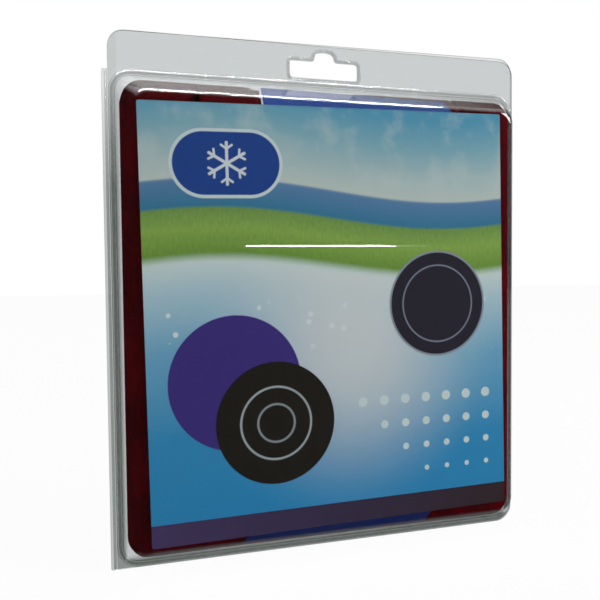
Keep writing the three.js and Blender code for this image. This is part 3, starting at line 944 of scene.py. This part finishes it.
    def slot_rim(self) -> None:
        """Builds the low raised rim round the hanger slot, sunk a little in the sheet."""
        bm = bmesh.new()
        skin = -self.half_gap - self.sheet + self.lip_sunk
        lip = [ring(bm, self.slot_corners(grow), skin - up, self.fine_segments) for grow, up in self.slot_lip]
        bridge(bm, lip, hoop=True)
        dress(finish(bm, "slot_rim"), self.material, "front_cover", "clear_shell")

    def bead(self) -> None:
        """Builds the rolled bead of the fold along the left side."""
        bm = bmesh.new()
        radius, height = FOLD_X - self.rear_box.low.x, self.bead_top
        size = {"segments": self.bead_sides, "radius1": radius, "radius2": radius, "depth": height}
        made = bmesh.ops.create_cone(bm, cap_ends=True, **size)
        move(bm, (FOLD_X, 0, height / 2), made["verts"])
        rims = [edge for edge in bm.edges if abs(edge.verts[0].co.z - edge.verts[1].co.z) < 0.01]
        bevel(bm, rims, self.bead_round, 3, "EDGES")
        dress(finish(bm, "fold_bead"), self.material, "rear_pack", "clear_shell")


@dataclass
class Cards:
    """The printed front card with its two sprung tabs, the plain rear card and the leaflet."""

    look: PrintedCard = PrintedCard()
    spring: float = 0.23
    foot_tab_z: float = 5.65
    foot_tab_further: float = 3.9
    foot_reach: float = 8.0
    crease: float = 3.0
    plain_looks: tuple[tuple[str, Board], ...] = (
        ("rear_card", Board("carton_pale_varnish", 0xE3E8EA, 0xD5DBDE, 0.45)),
        ("leaflet", Board("paper_uncoated", 0xF2F0EA, 0xE4E1D8, 0.85)),
    )

    def front(self) -> None:
        """Builds the printed card, whose folded tabs spring open against the shell's roof and foot."""
        bm = bmesh.new()
        bm.from_mesh(frame["nodes"]["front_card"].data)
        stretch(bm, (1 / MM, 1 / MM, 1 / MM))
        move(bm, (0, -PARTING_Y, 0))
        bmesh.ops.remove_doubles(bm, verts=bm.verts, dist=0.001)
        box = box_of("front_card")
        self.lower_foot_tab(bm, box.low.z + self.foot_reach)
        for vert in bm.verts:
            reach = vert.co.y - self.look.fold_y
            if reach > 0 and vert.co.z > box.z:
                vert.co.z += self.spring * reach
                if vert.co.x < 0:
                    vert.co.x += self.look.tab_lean * reach
        piece = finish(bm, "printed_card_board")
        dress(piece, self.look.build(), "front_cover", "printed_card", "front_card")
        settle(piece, self.crease)

    def lower_foot_tab(self, bm: Mesh, top: float) -> None:
        """Lays the foot tab's free edge level on the shell's foot, and splits both its faces alike.

        Args:
            bm: the card's mesh.
            top: a height above the tab.
        """
        free = {vert for vert in bm.verts if vert.co.y - self.look.fold_y > 1 and vert.co.z < top}
        crossed = [
            edge
            for edge in bm.edges
            for outer, inner in (edge.verts, reversed(edge.verts))
            if outer in free and inner not in free and outer.co.x - inner.co.x > 1
        ]
        bmesh.ops.rotate_edges(bm, edges=crossed, use_ccw=False)
        for side in (-1, 1):
            end = [vert for vert in free if vert.co.x * side > 0]
            down = min(vert.co.z for vert in end) - self.foot_tab_z
            move(bm, (0, self.foot_tab_further, -down), end)

    def plain(self) -> None:
        """Gives the two flat cards, which stay as the frame has them, their materials."""
        for name, board in self.plain_looks:
            mesh = frame["nodes"][name].data
            mesh.materials.clear()
            mesh.materials.append(board.build())
            log.info("%s has its finish", name)


CLOTHS = {
    "velour": Cloth(
        "polyester_brushed_velour", Weave.BRUSHED, 0.9, 0x68000A, 0x240003, sheen=0.02, height_mm=0.16
    ),
    "tape": Cloth("polyester_ribbed_tape", Weave.RIBBED, 0.9, 0x86040F, 0x46030A, sheen=0.1),
    "fastener": Cloth("nylon_hook_and_loop", Weave.PILE, 0.7, 0x2C0A10, 0x0E0304),
    "label": Cloth("polyester_woven_label", Weave.PLAIN, 0.5, 0x26262C, 0x121216),
    "cotton": Cloth("cotton_plain_weave", Weave.PLAIN, 0.8, 0xD6D1C6, 0xABA598),
    "lining": Cloth("cotton_fine_lining", Weave.PLAIN, 0.5, 0xE2DED3, 0xC0BBAE),
}


@dataclass
class Wallet:
    """The cloth cover with its binding, tapes and label, and the quilted pouch inside it."""

    cloth: float = 1.1
    seam_corner: float = 6.9
    seam_sag: float = 0.3
    seam_allowance: float = 8.0
    side_ease: float = 0.2
    foot_rest: Pair = (3.8, 0.558)
    over_tab: float = 46.0
    tab_rest: Pair = (3.2, 0.87)
    roof_rest: Pair = (179.5, 0.57)
    round_steps: int = 7
    face_rings: int = 9
    face_reach: float = 0.98
    least_corner: float = 0.3
    longest_edge: float = 6.0
    front_round: float = 7.0
    back_round: float = 4.5
    mouth_inset: float = 25.4
    mouth_drop: float = 9.4
    notch_gap: float = 2.0
    notch_below_root: float = 0.15
    pucker_mm: float = 9.0
    pucker_height: float = 0.45
    pucker_start: float = 8.0
    pucker_reach: float = 18.0
    crown: float = 0.15
    binding_radius: float = 1.2
    binding_sides: int = 12
    stitch_pitch: float = 3.2
    stitch_radius: float = 0.28
    stitch_length: float = 0.36
    stitch_aside: float = 0.72
    patch_corner: float = 0.8
    lining_corner: float = 6.2
    slab_edge: tuple[Pair, ...] = ((0.4, 0.0), (0.0, 0.3), (0.0, 0.7), (0.4, 1.0))
    channels: int = 5
    quilt_cloth: float = 0.2
    quilt_grid: tuple[int, int] = (56, 90)
    quilt_hem: float = 14.0
    band_cloth: float = 0.3
    band_corner: float = 6.0
    band_hem: float = 1.2
    band_bow: tuple[Pair, ...] = ((0.03, 1.8), (0.0, 0.6), (0.5, 0.2), (1.0, 0.6), (0.97, 1.8))
    fill_cuts: int = 7
    fill_least: float = 0.45

    def __post_init__(self) -> None:
        """Makes the cloths and works out the places that follow from the frame."""
        self.looks = {name: cloth.build() for name, cloth in CLOTHS.items()}
        box = box_of("cover_front")
        self.low, self.high = box.low - Vector((0, 0, self.seam_sag)), box.high
        self.seam = Box(self.low, self.high)
        self.x, self.half_x = self.seam.x, self.seam.wide / 2
        self.z, self.half_z = self.seam.z, self.seam.tall / 2

    def panel(self, name: str, rounding: float, start: float, face: float, opening: Pair) -> Mesh:
        """A cover panel: cloth that turns from its seam to a softly crowned face, open or notched at the top.

        Args:
            name: a word that seeds the puckers.
            rounding: how far in the face starts.
            start: the seam's depth.
            face: the face's depth.
            opening: half the width of the gap in the top, and the height where it starts.

        Returns:
            The mesh.
        """
        bm = bmesh.new()
        side = 1 if face > start else -1
        outlines = []
        for step in range(self.round_steps + 1):
            angle = step / self.round_steps * math.pi / 2
            offset = rounding * (1 - math.cos(angle))
            y = start + (face - start - side * self.crown) * math.sin(angle)
            half_x = self.half_x - self.side_ease - offset
            outlines.append((rounded(half_x, self.half_z - offset, self.seam_corner, self.x, self.z), y))
        for step in range(1, self.face_rings + 1):
            t = step / (self.face_rings + 1)
            offset = rounding + (self.half_x - rounding) * t * self.face_reach
            radius = max(self.least_corner, self.seam_corner * (1 - t))
            outlines.append((frame_of(self.seam, radius, -offset), face - side * self.crown * (1 - t) ** 2))
        bmesh.ops.edgeloop_fill(bm, edges=loft(bm, outlines)[-1])
        for _ in range(2):
            long_edges = [edge for edge in bm.edges if edge.calc_length() > self.longest_edge]
            bmesh.ops.subdivide_edges(bm, edges=long_edges, cuts=2, use_grid_fill=True)
        self.open_top(bm, *opening)
        bmesh.ops.triangulate(bm, faces=bm.faces)
        self.pucker(bm, len(name), side)
        return bm

    def open_top(self, bm: Mesh, half: float, height: float) -> None:
        """Cuts the gap in a panel's top, by half its width and the height where it starts."""
        slice_at(bm, (0, 0, height), (0, 0, 1))
        for x in (self.x - half, self.x + half):
            slice_at(bm, (x, 0, 0), (1, 0, 0))
        middles = {face: face.calc_center_median() for face in bm.faces}
        gone = [face for face, place in middles.items() if place.z > height and abs(place.x - self.x) < half]
        bmesh.ops.delete(bm, geom=gone, context="FACES")

    def pucker(self, bm: Mesh, seed: int, side: int) -> None:
        """Puckers a panel beside its seam, and keeps the front one off the shell's walls and the card's tab.

        Args:
            bm: the panel's mesh.
            seed: where the ripples are taken.
            side: -1 for the front panel and 1 for the back.
        """
        for vert in bm.verts:
            inward = min(self.half_x - abs(vert.co.x - self.x), self.half_z - abs(vert.co.z - self.z))
            share = max(0.0, min(1.0, inward / self.pucker_start) * (1 - inward / self.pucker_reach))
            ripple = noise.noise(Vector((vert.co.x, seed, vert.co.z)) / self.pucker_mm)
            vert.co.y += -side * abs(ripple) * self.pucker_height * 2 * share
            if side < 0:
                rests = [self.foot_rest, self.tab_rest][: 2 if abs(vert.co.x) < self.over_tab else 1]
                foot = max(height - slope * vert.co.y for height, slope in rests)
                vert.co.z = held(vert.co.z, foot, self.roof_rest[0] + self.roof_rest[1] * vert.co.y)

    def cover(self) -> None:
        """Builds the cover's two panels."""
        mouth = (self.half_x - self.mouth_inset, self.high.z - self.mouth_drop)
        front = self.panel("front", self.front_round, self.high.y, self.low.y + self.cloth, mouth)
        notch = (box_of("flap").wide / 2 + self.notch_gap, FLAP_ROOT - self.notch_below_root)
        box = box_of("cover_back")
        back = self.panel("back", self.back_round, box.low.y, box.high.y - self.cloth, notch)
        for node, panel in (("cover_front", front), ("cover_back", back)):
            piece = finish(panel, node + "_cloth", self.cloth, towards_front=panel is front)
            dress(piece, self.looks["velour"], "wallet", "cover_cloth", node)

    def binding(self) -> None:
        """Builds the bound edge and its stitches."""
        box = box_of("edge_binding")
        bm = bmesh.new()
        outlines = []
        for step in range(self.binding_sides):
            angle = step / self.binding_sides * math.tau
            offset = self.binding_radius * math.cos(angle)
            outline = frame_of(self.seam, self.seam_corner + offset, offset)
            outlines.append((outline, box.y + self.binding_radius * math.sin(angle)))
        loft(bm, outlines, hoop=True)
        bmesh.ops.holes_fill(bm, edges=slice_at(bm, (0, 0, box.high.z), (0, 0, 1), keep=False))
        piece = finish(bm, "edge_binding_tape")
        dress(piece, self.looks["tape"], "wallet", "binding_tape", "edge_binding")
        self.stitches(box.y, box.high.z)

    def stitches(self, depth: float, top: float) -> None:
        """Sews a row of short stitches along the binding's two sides.

        Args:
            depth: the binding's depth.
            top: where the row ends.
        """
        bm = bmesh.new()
        count = int((top - self.low.z - 2 * self.seam_corner) / self.stitch_pitch)
        size = (self.stitch_radius, self.stitch_radius, self.stitch_pitch * self.stitch_length)
        aside = self.binding_radius * self.stitch_aside
        for side in (-1, 1):
            for index in range(count):
                z = self.low.z + self.seam_corner + (index + 0.5) * self.stitch_pitch
                made = bmesh.ops.create_icosphere(bm, subdivisions=1, radius=1)
                stretch(bm, size, made["verts"])
                move(bm, (self.x + side * (self.half_x + aside), depth - aside, z), made["verts"])
        dress(finish(bm, "binding_stitches"), self.looks["tape"], "wallet", "binding_tape")

    def patches(self) -> None:
        """Builds the two fastener tapes and the bare label as thin cloth with soft edges."""
        self.slab("loop_tape", self.patch_corner, "wallet", "fastener", "fastener_tape")
        self.slab("hook_tape", self.patch_corner, "flap", "fastener", "fastener_tape")
        self.slab("blank_label", self.patch_corner, "wallet", "label", "label_cloth")

    def slab(self, node: str, radius: float, body: str, look: str, slot: str) -> None:
        """A thin flat cloth piece with rounded corners and edges that replaces a node.

        Args:
            node: the frame node.
            radius: its corners' radius.
            body: the body that it moves with.
            look: its cloth.
            slot: the record's slot.
        """
        box = box_of(node)
        bm = bmesh.new()
        outlines = [
            (frame_of(box, radius, -inset * box.deep), box.low.y + depth * box.deep)
            for inset, depth in self.slab_edge
        ]
        rings = loft(bm, outlines)
        for end in (rings[0], rings[-1]):
            bmesh.ops.edgeloop_fill(bm, edges=end)
        piece = finish(bm, node + "_cloth")
        dress(piece, self.looks[look], body, slot, node)

    def pouch(self) -> None:
        """Builds the inner pouch: quilted outer sheets, plain linings, the edge band and the gel fills."""
        self.quilt("pouch_front_sheet", -1)
        self.quilt("pouch_back_sheet", 1)
        for node in ("pouch_front_lining", "pouch_back_lining"):
            self.slab(node, self.lining_corner, "wallet", "lining", "lining_cloth")
        self.band()
        crystals = Crystals().build()
        for face in ("front", "back"):
            for index in range(1, self.channels + 1):
                self.fill(f"gel_{face}_{index}", crystals)

    def quilt(self, node: str, side: int) -> None:
        """A pouch sheet that dips at each row of stitches between the gel channels.

        Args:
            node: the frame node.
            side: -1 for the front sheet and 1 for the back.
        """
        box = box_of(node)
        bm = bmesh.new()
        columns, rows = self.quilt_grid
        bmesh.ops.create_grid(bm, x_segments=columns, y_segments=rows, size=0.5)
        bmesh.ops.rotate(bm, verts=bm.verts, cent=(0, 0, 0), matrix=Matrix.Rotation(math.pi / 2, 3, "X"))
        stretch(bm, (box.wide, 1, box.tall))
        move(bm, (box.x, box.high.y if side < 0 else box.low.y, box.z))
        for vert in bm.verts:
            up, across = (vert.co.z - box.low.z) / box.tall, (vert.co.x - box.low.x) / box.wide
            hem = min(1.0, self.quilt_hem * across, self.quilt_hem * (1 - across))
            puff = abs(math.sin(up * self.channels * math.pi)) ** 0.5 * hem
            vert.co.y += side * (box.deep - self.quilt_cloth) * puff
        piece = finish(bm, node + "_cloth", self.quilt_cloth, towards_front=side < 0)
        dress(piece, self.looks["cotton"], "wallet", "pouch_cloth", node)

    def band(self) -> None:
        """The sewn band that closes the pouch at its sides and foot."""
        box = box_of("pouch_gusset")
        whole = Box(box.low, Vector((*box.high.xy, self.high.z)))
        bm = bmesh.new()
        outlines = [
            (frame_of(whole, self.band_corner, -inset), box.low.y + depth * box.deep)
            for depth, inset in self.band_bow
        ]
        loft(bm, outlines)
        slice_at(bm, (0, 0, box.high.z), (0, 0, 1), keep=False)
        piece = finish(bm, "pouch_edge_band", self.band_cloth)
        dress(piece, self.looks["cotton"], "wallet", "pouch_cloth", "pouch_gusset")

    def fill(self, node: str, material: Material) -> None:
        """One channel's fill of gel crystals, swollen in its middle.

        Args:
            node: the frame node.
            material: its material.
        """
        box = box_of(node)
        bm = bmesh.new()
        bmesh.ops.create_cube(bm, size=1.0)
        bmesh.ops.subdivide_edges(bm, edges=bm.edges, cuts=self.fill_cuts, use_grid_fill=True)
        for vert in bm.verts:
            pinch = (1 - (2 * vert.co.x) ** 8) * (1 - (2 * vert.co.z) ** 6)
            vert.co.y *= self.fill_least + (1 - self.fill_least) * max(0.0, pinch)
        stretch(bm, (box.wide, box.deep, box.tall))
        move(bm, (box.x, box.y, box.z))
        piece = finish(bm, node + "_fill")
        dress(piece, material, "wallet", "gel", node)


@dataclass
class Flap:
    """The cover's flap: cloth that arches over the mouth and hangs down the front."""

    velour: Material
    cloth: float = 1.1
    root_above_hinge: float = 0.15
    blend_depth: float = 3.0
    arch_steps: int = 22
    drop_steps: int = 12
    columns: int = 68
    corner: float = 14.0
    roof_z: float = 171.7
    roof_y: float = -13.4
    roof_slope: float = 0.543
    crown_z: float = 178.0
    shoulder: float = 0.22
    tab_drop: float = 3.7
    tab_spring: float = 0.23
    tab_ends: Pair = (-29.2, 50.6)
    tab_depths: Pair = (-1.3, -5.7)
    tab_side_gap: float = 2.0
    tab_side_ease: float = 1.6
    tab_front_gap: float = 0.3
    tab_front_ease: float = 2.2

    def build(self) -> None:
        """Builds the flap, arched over the mouth, and hides the frame's flap."""
        box = box_of("flap")
        root = FLAP_ROOT + self.root_above_hinge
        middle, half, drop = box.y, box.deep / 2 - self.cloth, root - box.low.z
        places = [(middle + half, root)]
        for step in range(1, self.arch_steps + 1):
            angle = math.pi * step / self.arch_steps
            places.append((middle + half * math.cos(angle), root + (0.001 + math.sin(angle))))
        for step in range(1, self.drop_steps + 1):
            places.append((middle - half, root - drop * step / self.drop_steps))
        bm = bmesh.new()
        chain = [bm.verts.new((box.low.x, y, z)) for y, z in places]
        edges = [bm.edges.new(pair) for pair in zip(chain, chain[1:])]
        for _ in range(self.columns):
            made = bmesh.ops.extrude_edge_only(bm, edges=edges)["geom"]
            verts = {item for item in made if isinstance(item, bmesh.types.BMVert)}
            edges = [item for item in made if isinstance(item, bmesh.types.BMEdge) and item.is_boundary]
            edges = [edge for edge in edges if all(vert in verts for vert in edge.verts)]
            move(bm, (box.wide / self.columns, 0, 0), verts)
        self.round_corners(bm, box)
        self.fill_roof(bm, root)
        piece = finish(bm, "flap_cloth", self.cloth)
        piece.data.materials.append(self.velour)
        depths = (box.high.y, box.high.y - self.blend_depth)
        start, end = ((0, (depth + PARTING_Y) * MM, root * MM) for depth in depths)
        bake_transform(piece)
        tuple(start)
        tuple(end)
        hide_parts("flap")
        log.info("flap_cloth bends between the wallet and the flap")

    def roof(self, x: float, y: float) -> float:
        """The height that the cloth's inner side reaches under the shell's roof and the card's top tab.

        Args:
            x: the place across.
            y: the depth.

        Returns:
            The height.
        """
        (left, right), (near, far) = self.tab_ends, self.tab_depths
        gap, ease = self.tab_side_gap, self.tab_side_ease
        tab_end = near + held((x - left) / (right - left)) * (far - near)
        beside = smooth((x - left + gap) / ease) * smooth((right + gap - x) / ease)
        under = beside * (1 - smooth((y - tab_end - self.tab_front_gap) / self.tab_front_ease))
        drop = self.tab_drop - self.tab_spring * max(0.0, y - self.roof_y)
        free = min(self.crown_z, self.roof_z + (y - self.roof_y) * self.roof_slope)
        return free - drop * under

    def fill_roof(self, bm: Mesh, root: float) -> None:
        """Presses the arch, from its root up, against the shell's roof and under the card's top tab."""
        for vert in bm.verts:
            rise = vert.co.z - root
            if rise > 0:
                vert.co.z = root + (self.roof(vert.co.x, vert.co.y) - root) * min(1.0, rise) ** self.shoulder

    def round_corners(self, bm: Mesh, box: Box) -> None:
        """Pulls the flap's two lower corners in to a round line inside its box."""
        half = box.wide / 2
        for vert in bm.verts:
            below = box.low.z + self.corner - vert.co.z
            if below > 0 and vert.co.y < box.y:
                pull = self.corner - math.sqrt(max(self.corner**2 - below**2, 0))
                vert.co.x = box.x + (vert.co.x - box.x) / half * (half - pull)


@dataclass(frozen=True)
class Lamp:
    """A soft rectangular lamp that faces the pack: place and size in metres, power in watts."""

    name: str
    place: Triple
    size: Pair
    power: float
    mirrored: bool = True
    lights_matt: bool = True

    def hang(self, target: Triple) -> None:
        """Hangs the lamp so that it faces the target."""
        data = bpy.data.lights.new(self.name, "AREA")
        data.shape = "RECTANGLE"
        data.size, data.size_y = self.size
        data.energy = self.power
        lamp = placed(self.name, data)
        lamp.location = self.place
        lamp.rotation_euler = (Vector(target) - Vector(self.place)).to_track_quat("-Z", "Y").to_euler()
        lamp.visible_glossy, lamp.visible_diffuse = self.mirrored, self.lights_matt


@dataclass
class Studio:
    """The pale floor, the soft lamps and the camera."""

    eye_mm: Triple = (-101.0, -276.8, 111.3)
    yaw: float = 17.84
    pitch: float = 2.57
    roll: float = 0.54
    lens: float = 45.0
    sensor: float = 36.0
    clear_layers: int = 40
    front_dim: float = 0.015
    sky_from: Pair = (0.6, 0.9)
    sky_mirrored: float = 2.8
    room_light: float = 0.28
    floor_half: float = 3.0
    floor_white: float = 0.96
    # Painted reflection of the floor in glossy rays: its least and greatest glow, and the line across where
    # the brighter part starts.
    floor_painted_reflection: Pair = (0.015, 0.16)
    floor_painted_from_x: float = -0.08
    middle: Triple = (0, 0, 0.1)
    lamps: tuple[Lamp, ...] = (
        Lamp("key_right", (1.15, -0.8, 0.75), (0.5, 0.5), 19.0),
        Lamp("fill_left", (-1.0, -0.35, 0.3), (0.25, 0.8), 2.0, mirrored=False),
        Lamp("top_strip", (0.0, -0.2, 1.0), (1.04, 0.15), 50.0, lights_matt=False),
    )

    def camera(self) -> None:
        """Sets the camera where the photograph was taken."""
        data = bpy.data.cameras.new("camera")
        data.lens, data.sensor_width, data.clip_start = self.lens, self.sensor, 0.01
        camera = placed("camera", data)
        turn = Euler((math.radians(90 - self.pitch), 0, math.radians(-self.yaw))).to_matrix().to_4x4()
        lean = Matrix.Rotation(math.radians(-self.roll), 4, "Z")
        camera.matrix_world = Matrix.Translation(Vector(self.eye_mm) * MM) @ turn @ lean
        bpy.context.scene.camera = camera

    def seen(self, tree: Tree, path: bpy.types.bpy_prop_collection) -> Node:
        """Tells by the kind of ray whether the camera looks straight or through something clear."""
        return calc(tree, "MAXIMUM", path["Is Camera Ray"], path["Is Transmission Ray"])

    def floor(self) -> None:
        """Lays a white floor that keeps the pack's shadow, and that glows in glossy rays as a painted
        reflection, brighter behind the pack.
        """
        bm = bmesh.new()
        bmesh.ops.create_grid(bm, x_segments=4, y_segments=4, size=self.floor_half)
        mesh = bpy.data.meshes.new("floor")
        bm.to_mesh(mesh)
        bm.free()
        material, tree, place = fresh("floor_paper_white")
        path, axes = add(tree, "LightPath").outputs, split(tree, place)
        share = calc(tree, "MULTIPLY", self.seen(tree, path), self.floor_white)
        matt = add(tree, "BsdfDiffuse", {"Color": linear(0xF4F4F4)})
        glow = add(tree, "Emission", {"Color": linear(0xFFFFFF), "Strength": 1.0})
        lit = add(tree, "MixShader", {0: share, 1: matt, 2: glow})
        # Painted reflection: glossy rays see the floor glow, brighter where it lies behind the pack and right
        # of a line.
        behind = calc(tree, "GREATER_THAN", axes["Y"], 0.0)
        inside = calc(tree, "GREATER_THAN", axes["X"], self.floor_painted_from_x)
        painted_reflection_strength = span(tree, calc(tree, "MULTIPLY", behind, inside), end=self.floor_painted_reflection)
        dim = add(tree, "Emission", {"Strength": painted_reflection_strength})
        both = add(tree, "MixShader", {0: path["Is Glossy Ray"], 1: lit, 2: dim})
        add(tree, "OutputMaterial", {"Surface": both})
        mesh.materials.append(material)
        placed("floor", mesh)

    def world(self) -> None:
        """Lights the room evenly, white behind the pack and dim on the side that faces its front."""
        world = bpy.data.worlds.new("room")
        bpy.context.scene.world = world
        world.use_nodes = True
        tree = world.node_tree
        tree.nodes.clear()
        path = add(tree, "LightPath").outputs
        height = split(tree, add(tree, "TexCoord").outputs["Generated"])["Z"]
        mirrored = span(tree, height, self.sky_from, (self.front_dim, self.sky_mirrored))
        plain = span(tree, self.seen(tree, path), end=(self.room_light, 1.0))
        strength = add(tree, "Mix", {0: path["Is Glossy Ray"], 2: plain, 3: mirrored}, data_type="FLOAT")
        light = add(tree, "Background", {"Color": linear(0xFFFFFF), "Strength": strength})
        add(tree, "OutputWorld", {"Surface": light})

    def build(self) -> None:
        """Sets up the whole studio."""
        bpy.context.scene.view_settings.view_transform = "Standard"
        bpy.context.scene.cycles.transparent_max_bounces = self.clear_layers
        self.camera()
        self.floor()
        self.world()
        for lamp in self.lamps:
            lamp.hang(self.middle)


def main() -> None:
    """Builds the studio and the pack, and leaves the rest to the frame."""
    logging.basicConfig(level=logging.INFO, format="%(message)s")
    Studio().build()
    shells, cards, wallet = Shells(), Cards(), Wallet()
    for step in (shells.front, shells.rear, shells.slot_rim, shells.bead, cards.front, cards.plain):
        step()
    for step in (wallet.cover, wallet.binding, wallet.patches, wallet.pouch):
        step()
    Flap(wallet.looks["velour"]).build()


if __name__ == "__main__":
    main()
